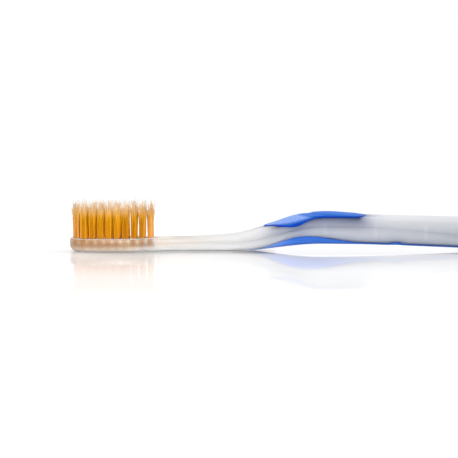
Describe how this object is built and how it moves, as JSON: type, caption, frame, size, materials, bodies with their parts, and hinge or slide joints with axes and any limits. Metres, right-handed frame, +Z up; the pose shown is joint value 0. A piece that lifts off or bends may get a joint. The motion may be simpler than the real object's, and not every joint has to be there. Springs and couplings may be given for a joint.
{
  "type": "manual toothbrush",
  "caption": "Straight manual toothbrush with a translucent handle, a soft thumb pad and back grip, and tufted filaments of two lengths.",
  "frame": {"origin": "under the middle of the brush, on the surface that it lies on with the bristles up", "axes": "+X along the handle from the head to the tail, +Y across the brush, +Z up along the bristles"},
  "size_m": [0.1879, 0.0132, 0.0146],
  "materials": {
    "core_plastic": "clear milky polypropylene, smooth",
    "soft_grip": "blue thermoplastic elastomer with a fine frosted texture",
    "anchor_metal": "cut strip",
    "filament": "amber nylon, fading to clear at the fine tips"
  },
  "bodies": {
    "root": {"handle_core": "core_plastic", "thumb_pad": "soft_grip", "back_grip": "soft_grip", "tuft_anchors": "anchor_metal", "tuft_1_1": "filament", "tuft_1_2": "filament", "tuft_2_1": "filament", "tuft_2_2": "filament", "tuft_2_3": "filament", "tuft_2_4": "filament", "tuft_3_1": "filament", "tuft_3_2": "filament", "tuft_3_3": "filament", "tuft_3_4": "filament", "tuft_4_1": "filament", "tuft_4_2": "filament", "tuft_4_3": "filament", "tuft_4_4": "filament", "tuft_5_1": "filament", "tuft_5_2": "filament", "tuft_5_3": "filament", "tuft_5_4": "filament", "tuft_6_1": "filament", "tuft_6_2": "filament", "tuft_6_3": "filament", "tuft_6_4": "filament", "tuft_7_1": "filament", "tuft_7_2": "filament", "tuft_7_3": "filament", "tuft_7_4": "filament", "tuft_8_1": "filament", "tuft_8_2": "filament", "tuft_8_3": "filament", "tuft_9_1": "filament", "tuft_9_2": "filament", "tuft_9_3": "filament", "tuft_10_1": "filament", "tuft_10_2": "filament"}
  },
  "joints": []
}
